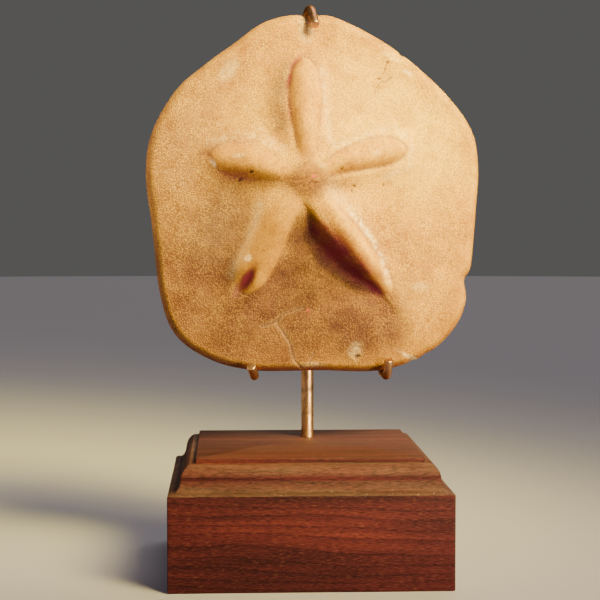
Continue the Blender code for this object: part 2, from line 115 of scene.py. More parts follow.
# Petals, in degrees and millimetres. "bow" is how far the middle line bulges to the left, seen looking
# out along the petal; "groove" is the depth of the pore groove on the right and on the left. The petal
# is carried by a ridge: "ridge" is its height, "root" the share of it that is left in the middle of the
# star, "taper" the share lost towards the tip, and "end" how far along the petal the ridge dies away.
# "flank" gives the ridge's right and left sides: half width, steepness, and the share of that width
# at the root and at the tip.
PETALS = [
    {"direction": 91, "length": 46, "bow": 0, "half_width": 6.6, "swelling": 2.8, "taper": 0.3,
     "groove": (0.1, 0.4), "ridge": 6.2, "root": 0.62, "end": 0.82,
     "flank": ((9, 3.4, 1, 1), (10.6, 3.4, 1, 1))},
    {"direction": 17.4, "length": 39.8, "bow": 2.3, "half_width": 6, "swelling": 2.6, "taper": 0.4,
     "groove": (0.8, 0.25), "ridge": 5, "root": 0.70, "end": 0.84,
     "flank": ((8.4, 3.6, 1, 1), (9.5, 2.8, 1, 1))},
    {"direction": 165.5, "length": 37.2, "bow": -0.5, "half_width": 7, "swelling": 2, "taper": 0.45,
     "groove": (0.1, 0.1), "ridge": 5.6, "root": 0.70, "end": 0.84,
     "flank": ((10.4, 3, 1, 0.9), (8, 2.7, 1, 1))},
    {"direction": -53, "length": 54, "bow": -0.2, "half_width": 5.2, "swelling": 1.4, "taper": 0.25,
     "groove": (0, 0.3), "ridge": 9.5, "root": 0.44, "end": 0.72,
     "flank": ((8.8, 6.4, 0.8, 0.34), (5.6, 3, 1, 0.7))},
    {"direction": -119.5, "length": 49, "bow": -1.8, "half_width": 8.2, "swelling": 1.2, "taper": 0.2,
     "groove": (0.1, 0.1), "ridge": 5.8, "root": 0.74, "end": 0.80,
     "flank": ((10.8, 3, 1, 0.9), (10, 3, 1, 0.9))},
]
RIDGE_END_LENGTH = 9.0 * MM
RIDGE_MERGE = 5              # the higher, the sharper the valley where two ridges meet
WIDEST_SHARE = 0.42          # where along a petal its ridge is widest
RIDGE_FULL_SHARE = 0.45      # where its height is full, and where its taper begins
FLANK_BLEND = 6 * MM         # over which the right flank turns into the left one
PETAL_ROOT_WIDTH = 0.45      # share of a petal's width at its root, full at the next share
PETAL_FULL_SHARE = 0.75
PETAL_TIP_POWER = 8
CROWN_POWER = 1.5
SWELLING_START, SWELLING_RUN = 0.08, 0.4
GROOVE_START, GROOVE_RUN, GROOVE_END, GROOVE_RUN_OUT = 0.12, 0.2, 0.95, 0.06
GROOVE_WIDTH = 1.3 * MM
APEX_RISE = 0.12 * MM
APEX_RADIUS = 3.2 * MM
APEX_EDGE = 1.6 * MM
# Unevenness of the front: height, distance between bumps, seed.
BROAD_LUMPS = (0.5 * MM, 19 * MM, 5)
FINE_LUMPS = (0.16 * MM, 6.5 * MM, 6)
CRACK_DEPTH = 0.4 * MM
# Oval marks, in millimetres and degrees: place (x, z), reach along and across, direction of the longer
# reach, then a depth or a strength. SUNKEN is the broad hollow beside the lower right petal.
SUNKEN = (9.5, -30, 16, 5.5, -44, 2.2)
PITS = [  # with depth; the first is the large hollow in the lower left petal
    (-23.4, -39, 6, 2.5, 58, 2.6), (19.7, -68, 1.1, 0.8, 0, 1), (31.5, 44.9, 0.7, 0.4, 40, 0.5),
    (27.9, 38.5, 0.6, 0.4, 0, 0.5), (-20.9, 2.4, 0.8, 0.45, 20, 0.5), (17.9, -2.6, 0.8, 0.4, -30, 0.3),
    (29.2, -2.2, 0.5, 0.3, 30, 0.3), (-25, -0.6, 1, 0.5, 30, 0.3), (17, -4.6, 0.5, 0.4, 0, 0.3),
    (9.4, 5.3, 0.45, 0.3, 0, 0.2), (-4, -23.5, 0.7, 0.4, 0, 0.2), (12.8, 3.6, 0.5, 0.4, 0, 0.2),
    (3, -1.6, 1.1, 0.35, 0, 0.3),
]
PALE_SPOTS = [  # with strength; the last is painted light over the hook's shadow
    (-35.2, 6.1, 1.7, 0.7, -60, 0.9), (-25.5, 8.6, 2.2, 0.8, 10, 0.5), (-22.2, -29.8, 1.4, 1, 20, 0.8),
    (-29.3, 41.6, 5, 2.6, 50, 0.35), (-17.4, 18.7, 0.7, 0.6, 0, 0.7), (39.2, 40.9, 2.2, 0.7, -35, 0.7),
    (19.1, -65.5, 3, 2.2, 70, 0.35), (44, -41, 3.4, 1.6, 0, 0.3), (5.5, 4.6, 1.6, 0.8, -30, 0.35),
    (26, 9.6, 1.6, 1.1, 0, 0.3), (33, 47, 3.2, 1, -30, 0.4), (2.5, -71, 5, 1, 0, 0.25),
    (43, -69.6, 7, 0.8, -28, 0.8), (0.3, 58.6, 5.6, 2.6, 90, 0.6),
]
DARK_SPOTS = [  # peppered with dirt, and painted shade in the middle and under the left petal, with strength
    (-41.5, -14.8, 3.4, 2.2, 20, 0.35), (-30, -20, 6, 4, 30, 0.15), (22, -60, 9, 4, 10, 0.2),
    (-20, -62, 9, 5, 10, 0.25), (11, -1.6, 7, 1.9, -4, 0.7), (-10, -1, 8, 2.6, 4, 0.7),
    (14, 33, 6, 3, 20, 0.1), (0, 5, 3, 6, 0, 0.45), (-3.4, -23, 3.6, 2.6, 40, 0.6), (0, -2, 9, 6, 0, 0.8),
    (-26, 1, 10, 3, -8, 0.7), (-38, 9.8, 2.4, 1.4, 0, 0.8),
]
PAINTED_SHADOW_SPOTS = [  # painted shadow, deep red-brown, on the steep petal flanks and in the lower left pit, with strength
    (5.2, -20, 5, 3.4, -50, 0.9), (11, -26.6, 9, 5.2, -42, 1), (18.6, -33.6, 9, 4.6, -42, 1),
    (25.5, -40.4, 5.5, 2.4, -40, 1), (-22.3, -37.8, 4.6, 2.2, 58, 1), (-25, 1, 8, 2, -8, 0.4),
    (-6.4, 37.5, 3.6, 1.1, 80, 0.75), (-3.6, 44.5, 4, 1.2, 50, 0.5), (-6.6, 27, 7, 0.7, 92, 0.4),
]
PAINTED_SHADE_SPOTS = [  # painted shade in the hollows, the middle, the left rim and along the bottom, with strength
    (-2, -21, 9, 5.5, 75, 0.95), (-26, -1, 11, 4, -8, 0.35), (0, -0.5, 8, 6, 0, 0.7),
    (-0.5, -38, 16, 12, 60, 0.7), (-31, -15, 18, 13, 60, 0.5), (-14, -22, 15, 7, 60, 0.4),
    (0, -61, 44, 12, 0, 0.45), (-62, 0, 9, 60, 0, 0.45), (-22.8, -38.4, 5, 2.4, 58, 0.9),
]
EARTH_AND_SHADE_SPOTS = [(-2.5, -25, 14, 8, 80, 1), (0, -1, 8, 6, 0, 0.9)]
LESS_EARTH_SHADE_SPOTS = [(25.5, -26.5, 22, 7, -54, 0.9)]
GREY_SHADE_SPOTS = [(-31, -16, 15, 10, 60, 0.7)]
RED_SPOTS = [(2.2, 0.7, 0.9, 0.45, 20, 1), (0.8, -50, 0.5, 0.8, 0, 0.6)]
EARTH_SHADE_TOP, EARTH_SHADE_RUN = -8 * MM, 28 * MM      # earth and painted shade below this height, more and more
LESS_EARTH_SHADE_RIGHT, LESS_EARTH_SHADE_RUN = 33 * MM, 12 * MM    # but less to the right of this line
# Cracks: half width, then the points they run through.
CRACKS = [
    (0.36, [(-17.1, -55.9), (-13.2, -55), (-10.7, -53.5), (-10.5, -55.5), (-7.9, -59.4), (-5.7, -63),
            (-5.2, -66.5), (-4.3, -69.1), (-1.7, -72.2)]),
    (0.26, [(-10.7, -53.5), (-7.9, -51.1), (-1.2, -48.8)]),
    (0.24, [(3.2, -66.5), (1.2, -71.4)]),
    (0.34, [(31.1, 44.2), (29.8, 40.9), (28.7, 39.1), (29.2, 36.9), (30.9, 37.5), (32.8, 39.1)]),
    (0.26, [(28.4, 36.9), (26.8, 34.8), (26, 32.9)]),
]
# Chalky lines along the petals: strength, half width, then the points they run through.
CHALK_LINES = [
    (0.85, 1.1, [(15, -11.5), (20.5, -16.8), (26, -24.5), (29, -32), (31.5, -39.5)]),
    (0.40, 1.5, [(6.4, 41), (7.6, 30), (7.8, 16), (10.5, 12), (20, 16.2), (33.5, 19),
                 (39.5, 16)]),
    (0.35, 1.6, [(40.5, 12.5), (39, 4.8), (30, 1)]),
    (0.35, 1.8, [(-36, 14), (-22.5, 16.8), (-9, 11.5)]),
    (0.30, 2.6, [(10, -4.5), (14, -9), (19, -14)]),
]
# Soft marks along lines: painted shade on the left flank of the top petal, and a crease in the lower left
# one.
FLANK_SHADE = [(-6.5, 42), (-10, 34), (-10.8, 27), (-9.8, 20)]
CREASE = [(-17.6, -9.5), (-19.2, -15.5), (-21.8, -22.5), (-24.2, -28), (-26.7, -32.3), (-28.3, -36)]
MOUTH_DEPTH = 6.0 * MM
MOUTH_RADIUS = 5.0 * MM
UNDERSIDE_HOLLOW = 1.8 * MM
UNDERSIDE_RADIUS = 26 * MM
VENT_Z = -64.0 * MM
VENT_DEPTH = 2.0 * MM
VENT_RADIUS = 2.2 * MM
FRONT_RINGS = 160
BACK_RINGS = 80
FLAT_SHARE = 0.845           # of the rings, those inside the rim's rounding
BEND_PROBE = 1.2 * MM        # how far off the surface is felt for hollows and crests
FULL_BEND = 0.25 * MM


def smooth_step(value):
    value = np.clip(value, 0.0, 1.0)
    return value * value * (3 - 2 * value)


def lumps(x, z, pitch, seed):
    """Smooth random field from -1 to 1 with bumps about one pitch apart."""
    table = np.random.default_rng(seed).uniform(-1, 1, (64, 64))
    column = np.floor(x / pitch)
    row = np.floor(z / pitch)
    u = smooth_step(x / pitch - column)
    v = smooth_step(z / pitch - row)
    i = column.astype(int) % 64
    j = row.astype(int) % 64
    near = table[i, j] * (1 - u) + table[(i + 1) % 64, j] * u
    far = table[i, (j + 1) % 64] * (1 - u) + table[(i + 1) % 64, (j + 1) % 64] * u
    return near * (1 - v) + far * v


def closed_curve(points, steps_per_span):
    """A smooth closed curve (Catmull-Rom) through the given points."""
    points = np.array(points, dtype=float)
    before = np.roll(points, 1, axis=0)
    after = np.roll(points, -1, axis=0)
    later = np.roll(points, -2, axis=0)
    curve = []
    for step in range(steps_per_span):
        t = step / steps_per_span
        curve.append(0.5 * (2 * points + (after - before) * t
                            + (2 * before - 5 * points + 4 * after - later) * t ** 2
                            + (3 * points - before - 3 * after + later) * t ** 3))
    return np.stack(curve, axis=1).reshape(-1, 2)


def outline_radius(angles):
    """Distance from the middle of the petals to the rim, in each direction."""
    curve = closed_curve(OUTLINE_MM, 12) * MM
    curve_angles = np.arctan2(curve[:, 1], curve[:, 0])
    order = np.argsort(curve_angles)
    radii = np.hypot(curve[:, 0], curve[:, 1])
    radius = np.interp(angles, curve_angles[order], radii[order], period=2 * math.pi)
    for angle, width, depth in RIM_DIPS:
        away = (angles - math.radians(angle) + math.pi) % (2 * math.pi) - math.pi
        radius = radius - depth * MM * np.exp(-(away / math.radians(width)) ** 2)
    return radius


def petal_frame(x, z, petal):
    """Places in a petal's own terms: share of its length from the middle, and distance to its left."""
    angle = math.radians(petal["direction"])
    share = (x * math.cos(angle) + z * math.sin(angle)) / (petal["length"] * MM)
    inside = np.clip(share, 0.0, 1.0)
    middle_line = petal["bow"] * MM * 4 * inside * (1 - inside)
    return share, -x * math.sin(angle) + z * math.cos(angle) - middle_line


def petal_half_width(share, petal):
    share = np.clip(share, 1e-4, 1.0)
    opening = PETAL_ROOT_WIDTH + (1 - PETAL_ROOT_WIDTH) * smooth_step(share / PETAL_FULL_SHARE)
    return petal["half_width"] * MM * opening * np.sqrt(1 - share ** PETAL_TIP_POWER) + 1e-6


def flank_shape(share, flank):
    """(half width, steepness) of one side of a ridge, narrowing towards its root and its tip."""
    width, power, root, tip = flank
    opening = root + (1 - root) * smooth_step(share / WIDEST_SHARE)
    closing = 1 - (1 - tip) * smooth_step((share - WIDEST_SHARE) / (1 - WIDEST_SHARE))
    return width * MM * opening * closing, power


def star_ridges(x, z):
    """The five ridges that carry the petals and meet in the middle."""
    total = np.zeros_like(x)
    for petal in PETALS:
        share, across = petal_frame(x, z, petal)
        right_width, right_power = flank_shape(share, petal["flank"][0])
        left_width, left_power = flank_shape(share, petal["flank"][1])
        leftness = smooth_step(0.5 + across / FLANK_BLEND)
        width = right_width + (left_width - right_width) * leftness
        power = right_power + (left_power - right_power) * leftness
        past_end = np.maximum(share - petal["end"], 0) * petal["length"] * MM / RIDGE_END_LENGTH
        behind = np.maximum(-share, 0) * petal["length"] * MM / RIDGE_END_LENGTH
        full = petal["root"] + (1 - petal["root"]) * smooth_step(share / RIDGE_FULL_SHARE)
        lost = petal["taper"] * smooth_step((share - RIDGE_FULL_SHARE) / (1 - RIDGE_FULL_SHARE))
        height = petal["ridge"] * MM * full * (1 - lost)
        height = height / (1 + np.abs(across / width) ** power)
        total += (height / (1 + past_end ** 3 + behind ** 3)) ** RIDGE_MERGE
    return total ** (1 / RIDGE_MERGE)


def petal_fields(x, z):
    """(swelling, groove) of the petals on their ridges, in metres."""
    swelling = np.zeros_like(x)
    grooves = np.zeros_like(x)
    for petal in PETALS:
        share, across = petal_frame(x, z, petal)
        width = petal_half_width(share, petal)
        ratio = np.clip(np.abs(across) / width, 0.0, 1.0)
        crown = (1 - ratio ** 2) ** CROWN_POWER * np.sqrt(1 - np.clip(share, 0, 1) ** PETAL_TIP_POWER)
        inside = (share > 0) & (share < 1)
        growth = smooth_step((share - SWELLING_START) / SWELLING_RUN)
        rise = petal["swelling"] * MM * growth * crown
        swelling = np.maximum(swelling, np.where(inside, rise, 0.0))
        beyond = np.abs(across) - width
        groove_right, groove_left = petal["groove"]
        depth = np.where(across > 0, groove_left, groove_right) * MM
        fade = smooth_step((share - GROOVE_START) / GROOVE_RUN)
        fade = fade * (1 - smooth_step((share - GROOVE_END) / GROOVE_RUN_OUT))
        grooves = np.maximum(grooves, depth * fade * np.exp(-(beyond / GROOVE_WIDTH) ** 2))
    return swelling, grooves


def spot(x, z, row):
    """1 in the middle of an oval mark, falling off to 0 around it."""
    centre_x, centre_z, long_reach, short_reach, direction = row[:5]
    angle = math.radians(direction)
    from_x = x / MM - centre_x
    from_z = z / MM - centre_z
    along = (from_x * math.cos(angle) + from_z * math.sin(angle)) / long_reach
    across = (-from_x * math.sin(angle) + from_z * math.cos(angle)) / short_reach
    return np.exp(-(along ** 2 + across ** 2) ** 1.5)


def path_distance(x, z, path):
    """Distance in millimetres to a line through the given points."""
    nearest = np.full_like(x, 1e3)
    for (ax, az), (bx, bz) in zip(path, path[1:]):
        length_squared = (bx - ax) ** 2 + (bz - az) ** 2
        share = np.clip(((x / MM - ax) * (bx - ax) + (z / MM - az) * (bz - az)) / length_squared, 0, 1)
        distance = np.hypot(x / MM - ax - share * (bx - ax), z / MM - az - share * (bz - az))
        nearest = np.minimum(nearest, distance)
    return nearest


def line_mark(x, z, path, half_width):
    """1 along a line through the given points, falling off to 0 beside it."""
    return np.exp(-(path_distance(x, z, path) / half_width) ** 2)


def marks(x, z, rows):
    """The strongest of several oval marks at each place."""
    strongest = np.zeros_like(x)
    for row in rows:
        strongest = np.maximum(strongest, row[5] * spot(x, z, row))
    return strongest


def patchy(x, z, middle, amount, pitch, seed):
    """A factor that wanders by some amount round a middle value."""
    return middle + amount * lumps(x, z, pitch * MM, seed)


def rim_height(to_outline):
    """Half of the rim's thickness, rounded off towards the outline."""
    inward = np.clip(to_outline / RIM_ROUNDING, 0.0, 1.0)
    return RIM_HALF_THICKNESS * np.sqrt(1 - (1 - inward) ** 2)


def front_height(x, z, radius_limit):
    distance = np.hypot(x, z)
    swelling, grooves = petal_fields(x, z)
    height = rim_height(radius_limit - distance)
    height += SLOPE_RISE * (1 - (distance / radius_limit) ** 2)
    height += SWELL_RISE * np.exp(-(distance / SWELL_RADIUS) ** 2)
    height += star_ridges(x, z) + swelling - grooves
    broad, broad_pitch, broad_seed = BROAD_LUMPS
    fine, fine_pitch, fine_seed = FINE_LUMPS
    height += broad * lumps(x, z, broad_pitch, broad_seed) + fine * lumps(x, z, fine_pitch, fine_seed)
    height -= SUNKEN[5] * MM * spot(x, z, SUNKEN)
    height += APEX_RISE * smooth_step((APEX_RADIUS - distance) / APEX_EDGE)
    for row in PITS:
        height -= row[5] * MM * spot(x, z, row)
    for half_width, path in CRACKS:
        height -= CRACK_DEPTH * line_mark(x, z, path, half_width)
    return height


def back_height(x, z, radius_limit):
    distance = np.hypot(x, z)
    height = rim_height(radius_limit - distance)
    height -= UNDERSIDE_HOLLOW * np.exp(-(distance / UNDERSIDE_RADIUS) ** 2)
    height -= MOUTH_DEPTH * np.exp(-(distance / MOUTH_RADIUS) ** 4)
    height -= VENT_DEPTH * np.exp(-(np.hypot(x, z - VENT_Z) / VENT_RADIUS) ** 2)
    return height


# ------------------------ fossil: mesh

def ring_angles(count):
    return np.arange(count) * 2 * math.pi / count


def disc_rings(rings, height_of, facing):
    """Rings of points from the middle outwards, the k-th with 6k points, spaced along the surface."""
    made = []
    for step in range(1, rings):
        angles = ring_angles(6 * step)
        limit = outline_radius(angles)
        share = step / rings
        if share < FLAT_SHARE:
            radius = (limit - RIM_ROUNDING) * share / FLAT_SHARE
        else:
            turn = (share - FLAT_SHARE) / (1 - FLAT_SHARE) * math.pi / 2
            radius = limit - RIM_ROUNDING * (1 - math.sin(turn))
        x = radius * np.cos(angles)
        z = radius * np.sin(angles)
        y = RIM_MID_Y + facing * height_of(x, z, limit)
        made.append(np.stack([x, y, FOSSIL_CENTRE_Z + z], axis=1))
    return made


def stitch(inner_start, inner_count, outer_start, outer_count):
    """Triangles between two rings of any sizes, both beginning at the same angle."""
    triangles = []
    inner = 0
    outer = 0
    while inner < inner_count or outer < outer_count:
        a = inner_start + inner % inner_count
        b = outer_start + outer % outer_count
        outer_is_next = (outer + 1) * inner_count <= (inner + 1) * outer_count
        if outer < outer_count and (outer_is_next or inner >= inner_count):
            triangles.append((a, b, outer_start + (outer + 1) % outer_count))
            outer += 1
        else:
            triangles.append((a, b, inner_start + (inner + 1) % inner_count))
            inner += 1
    return triangles


def disc_faces(rings, first_ring_start, middle_index, rim_start, rim_count):
    """Triangles of one side of the fossil, from its middle vertex to the shared rim."""
    faces = []
    for step in range(6):
        faces.append((middle_index, first_ring_start + step, first_ring_start + (step + 1) % 6))
    start = first_ring_start
    for step in range(1, rings - 1):
        faces += stitch(start, 6 * step, start + 6 * step, 6 * (step + 1))
        start += 6 * step
    faces += stitch(start, 6 * (rings - 1), rim_start, rim_count)
    return faces


def add_object(name, data):
    made = bpy.data.objects.new(name, data)
    bpy.context.scene.collection.objects.link(made)
    return made


def build_fossil():
    zero = np.zeros(1)
    limit = outline_radius(zero)
    front = disc_rings(FRONT_RINGS, front_height, -1)
    back = disc_rings(BACK_RINGS, back_height, 1)
    rim_count = 6 * FRONT_RINGS
    angles = ring_angles(rim_count)
    radius = outline_radius(angles)
    level = np.full(rim_count, RIM_MID_Y)
    rim = np.stack([radius * np.cos(angles), level, FOSSIL_CENTRE_Z + radius * np.sin(angles)], axis=1)
    front_middle = [[0, RIM_MID_Y - front_height(zero, zero, limit)[0], FOSSIL_CENTRE_Z]]
    back_middle = [[0, RIM_MID_Y + back_height(zero, zero, limit)[0], FOSSIL_CENTRE_Z]]
    front_points = np.concatenate(front)
    back_points = np.concatenate(back)
    points = np.concatenate([front_middle, front_points, rim, back_middle, back_points])
    rim_start = 1 + len(front_points)
    back_middle_index = rim_start + rim_count
    faces = disc_faces(FRONT_RINGS, 1, 0, rim_start, rim_count)
    back_faces = disc_faces(BACK_RINGS, back_middle_index + 1, back_middle_index, rim_start, rim_count)
    faces += [(a, c, b) for a, b, c in back_faces]

    mesh = bpy.data.meshes.new("fossil_surface")
    mesh.from_pydata(points.tolist(), [], faces)
    mesh.shade_smooth()
    fossil = add_object("fossil_surface", mesh)
    return fossil, points


def add_mask(piece, name, values):
    """A number at each vertex, which the material reads by name."""
    mask = piece.data.attributes.new(name, "FLOAT", "POINT")
    mask.data.foreach_set("value", values.astype(np.float32))


def paint_masks(fossil, points):
    """Vertex masks that tell the stone material where the surface is smooth, dark or pale, and where
    shade and shadow are painted on it.
    """
    x = points[:, 0]
    z = points[:, 2] - FOSSIL_CENTRE_Z
    in_front = points[:, 1] < RIM_MID_Y
    distance = np.hypot(x, z)
    limit = outline_radius(np.arctan2(z, x))
    inland = limit - distance
    around = [front_height(x + BEND_PROBE, z, limit), front_height(x - BEND_PROBE, z, limit),
              front_height(x, z + BEND_PROBE, limit), front_height(x, z - BEND_PROBE, limit)]
    bend = (sum(around) / 4 - front_height(x, z, limit)) / FULL_BEND
    off_rim = smooth_step(inland / (4 * MM))

    smooth = np.zeros_like(x)
    for petal in PETALS:
        share, across = petal_frame(x, z, petal)
        width = petal_half_width(share, petal)
        on_petal = smooth_step((width - np.abs(across)) / (1.2 * MM)) * smooth_step((share - 0.1) / 0.1)
        smooth = np.maximum(smooth, np.where((share > 0) & (share < 1), on_petal, 0.0))
    smooth = np.maximum(smooth, smooth_step((2 * APEX_RADIUS - distance) / APEX_RADIUS))

    pale = np.zeros_like(x)
    for row in PALE_SPOTS:
        worn = spot(x, z, row) * patchy(x, z, 1, 0.9, 0.8, 11) * 1.2
        pale = np.maximum(pale, row[5] * np.clip(worn, 0, 1))
    # Dark pits and cracks: dirt and painted shade.
    pit = np.zeros_like(x)
    for row in PITS[1:]:
        pit = np.maximum(pit, smooth_step(spot(x, z, row) * 1.2))
    for half_width, path in CRACKS:
        from_crack = path_distance(x, z, path) / half_width
        pale = np.maximum(pale, 0.09 * np.exp(-((from_crack - 1.6) / 0.9) ** 2))
        pit = np.maximum(pit, 0.25 * np.exp(-from_crack ** 2))
    pale = np.maximum(pale, 0.22 * line_mark(x, z, CREASE, 1.8))
    ragged = np.clip(patchy(x, z, 0.6, 0.9, 0.7, 12), 0, 1)
    for strength, half_width, path in CHALK_LINES:
        pale = np.maximum(pale, strength * ragged * line_mark(x, z, path, half_width))

    # Painted shade: the colour is darkened in the hollows, the middle, on the left rim and along the
    # bottom.
    painted_shade = np.maximum(0.30 * line_mark(x, z, FLANK_SHADE, 4.0), marks(x, z, PAINTED_SHADE_SPOTS))
    # Painted grey shade along the left flank of the top petal and on the lower left.
    grey_shade = np.maximum(0.8 * line_mark(x, z, FLANK_SHADE, 3.0), marks(x, z, GREY_SHADE_SPOTS))
    # Earth and painted shade: darker low down and in the middle, less on the right and on the lit side of
    # the lower right petal.
    less_earth_shade = 0.8 * smooth_step((x - LESS_EARTH_SHADE_RIGHT) / LESS_EARTH_SHADE_RUN)
    earth_and_shade = smooth_step((EARTH_SHADE_TOP - z) / EARTH_SHADE_RUN) * (1 - less_earth_shade)
    earth_and_shade = np.maximum(earth_and_shade * (1 - marks(x, z, LESS_EARTH_SHADE_SPOTS)), marks(x, z, EARTH_AND_SHADE_SPOTS))
    # Painted shadow on the steep flanks and in the pit, and painted shade along the lower rim, weaker on
    # the back.
    under_rim = smooth_step((RIM_ROUNDING - inland) / RIM_ROUNDING) * smooth_step(-z / distance - 0.4)
    painted_shadow = np.where(in_front, np.maximum(marks(x, z, PAINTED_SHADOW_SPOTS), 0.8 * under_rim), 0.5 * under_rim)
    edge = smooth_step(1 - inland / (14 * MM)) * patchy(x, z, 0.7, 0.3, 9, 14)
    edge = edge * (0.3 + 0.7 * smooth_step((x + 20 * MM) / (50 * MM)))

    # Hollows get earth and painted shade; crests are worn pale.
    front_only = {"smooth": smooth, "pale": pale, "pit": pit, "dark": marks(x, z, DARK_SPOTS),
                  "painted_shade": painted_shade, "grey_shade": grey_shade, "red": marks(x, z, RED_SPOTS),
                  "hollow_earth_and_shade": smooth_step(bend) * off_rim, "crest": smooth_step(-bend) * off_rim}
    for name, values in front_only.items():
        add_mask(fossil, name, values * in_front)
    for name, values in (("painted_shadow", painted_shadow), ("earth_and_shade", earth_and_shade), ("edge", edge)):
        add_mask(fossil, name, values)


# ------------------------ stand: base, bars and braze

def new_piece(name, builder, sharp_angle):
    bmesh.ops.recalc_face_normals(builder, faces=builder.faces)
    mesh = bpy.data.meshes.new(name)
    builder.to_mesh(mesh)
    builder.free()
    mesh.shade_smooth()
    mesh.set_sharp_from_angle(angle=math.radians(sharp_angle))
    piece = add_object(name, mesh)
    return piece


def bridge_rings(builder, rings):
    for lower, upper in zip(rings, rings[1:]):
        count = len(lower)
        for index in range(count):
            following = (index + 1) % count
            builder.faces.new((lower[index], lower[following], upper[following], upper[index]))


def rounded_rectangle(half_x, half_y, radius, height):
    """Points round a rectangle whose corners are slightly worn, with runs along each side."""
    points = []
    corners = [(half_x, half_y), (-half_x, half_y), (-half_x, -half_y), (half_x, -half_y)]
    for quarter, (corner_x, corner_y) in enumerate(corners):
        centre_x = corner_x - math.copysign(radius, corner_x)
        centre_y = corner_y - math.copysign(radius, corner_y)
        for step in range(CORNER_STEPS + 1):
            angle = (quarter + step / CORNER_STEPS) * math.pi / 2
            across, along = radius * math.cos(angle), radius * math.sin(angle)
            points.append((centre_x + across, centre_y + along, height))
    return points


def build_base():
    """The walnut block with its ogee edge, softened arrises and the hole that the post stands in."""
    builder = bmesh.new()
    rings = []
    for inset, height in BASE_PROFILE:
        half = BASE_HALF - inset * MM
        points = rounded_rectangle(half, half, CORNER_RADIUS, height * MM)
        rings.append([builder.verts.new(point) for point in points])
    bridge_rings(builder, rings)
    builder.faces.new(list(reversed(rings[0])))
    hole = []
    for depth in (0.0, HOLE_CHAMFER, HOLE_DEPTH):
        radius = POST_RADIUS + (HOLE_MOUTH_GAP if depth == 0.0 else HOLE_GAP)
        ring = []
        for step in range(POST_SIDES):
            angle = 2 * math.pi * step / POST_SIDES
            across, along = radius * math.cos(angle), radius * math.sin(angle)
            ring.append(builder.verts.new((POST_X + across, POST_Y + along, BASE_TOP - depth)))
        hole.append(ring)
    bridge_rings(builder, hole)
    builder.faces.new(hole[-1])
    boundary = [edge for edge in builder.edges if edge.is_boundary]
    bmesh.ops.triangle_fill(builder, edges=boundary, use_beauty=True)
    return new_piece("walnut_block", builder, sharp_angle=24)


def filed_end(tip, tangent, inward, radius):
    """Stations that round the filed edge of a cut end, from its face inwards."""
    stations = []
    for step in range(FILED_STEPS + 1):
        turn = step / FILED_STEPS * math.pi / 2
        inset = FILED_EDGE * (1 - math.sin(turn))
        place = tip + inward * FILED_EDGE * (1 - math.cos(turn))
        stations.append((place, tangent, radius - inset, 1.0))
    return stations


def sweep_bar(name, path, radius, sides):
    """A round bar along a path, its cut ends flat with a filed edge; ends are marked in a mask."""
    builder = bmesh.new()
    cut_layer = builder.verts.layers.float.new("cut")
    tangents = []
    for index in range(len(path)):
        before = path[max(index - 1, 0)]
        after = path[min(index + 1, len(path) - 1)]
        tangents.append((after - before).normalized())
    side = tangents[0].orthogonal().normalized()
    stations = filed_end(path[0], tangents[0], tangents[0], radius)
    stations += [(point, tangent, radius, 0.0) for point, tangent in zip(path[1:-1], tangents[1:-1])]
    stations += reversed(filed_end(path[-1], tangents[-1], -tangents[-1], radius))
    rings = []
    for point, tangent, ring_radius, cut in stations:
        side = (side - tangent * side.dot(tangent)).normalized()
        across = tangent.cross(side)
        ring = []
        for step in range(sides):
            angle = 2 * math.pi * step / sides
            outward = side * math.cos(angle) + across * math.sin(angle)
            vertex = builder.verts.new(point + outward * ring_radius)
            vertex[cut_layer] = cut
            ring.append(vertex)
        rings.append(ring)
    bridge_rings(builder, rings)
    builder.faces.new(list(reversed(rings[0])))
    builder.faces.new(rings[-1])
    return new_piece(name, builder, sharp_angle=40)


def bend_path(corners, bend_radius, steps):
    """Round the inner corners of a path of straight runs, as a bar is bent round a former."""
    path = [Vector(corners[0])]
    for before, corner, after in zip(corners, corners[1:], corners[2:]):
        corner = Vector(corner)
        incoming = (Vector(before) - corner).normalized()
        outgoing = (Vector(after) - corner).normalized()
        half_angle = incoming.angle(outgoing) / 2
        reach = bend_radius / math.tan(half_angle)
        centre = corner + (incoming + outgoing).normalized() * (bend_radius / math.sin(half_angle))
        start = corner + incoming * reach - centre
        turn_axis = start.cross(corner + outgoing * reach - centre).normalized()
        turn = math.pi - 2 * half_angle
        for step in range(steps + 1):
            rotation = Matrix.Rotation(turn * step / steps, 3, turn_axis)
            path.append(centre + rotation @ start)
    path.append(Vector(corners[-1]))
    return path


def hook_path():
    """Up behind the fossil, over its top edge and down in front, leaning a little to the right."""
    path = []
    steps = 20
    for step in range(steps):
        height = HOOK_FOOT_Z + (HOOK_CENTRE_Z - HOOK_FOOT_Z) * step / steps
        path.append(Vector((HOOK_X, BAR_Y, height)))
    steps = 40
    for step in range(steps + 1):
        angle = HOOK_SWEEP * step / steps
        y = HOOK_CENTRE_Y + HOOK_RADIUS * math.cos(angle)
        z = HOOK_CENTRE_Z + HOOK_RADIUS * math.sin(angle)
        path.append(Vector((HOOK_X + HOOK_LEAN * (BAR_Y - y), y, z)))
    forward = HOOK_RUN * math.sin(HOOK_SWEEP)
    down = -HOOK_RUN * math.cos(HOOK_SWEEP)
    last = path[-1]
    for share in (0.5, 1.0):
        path.append(last + Vector((HOOK_LEAN * forward, -forward, -down)) * share)
    return path


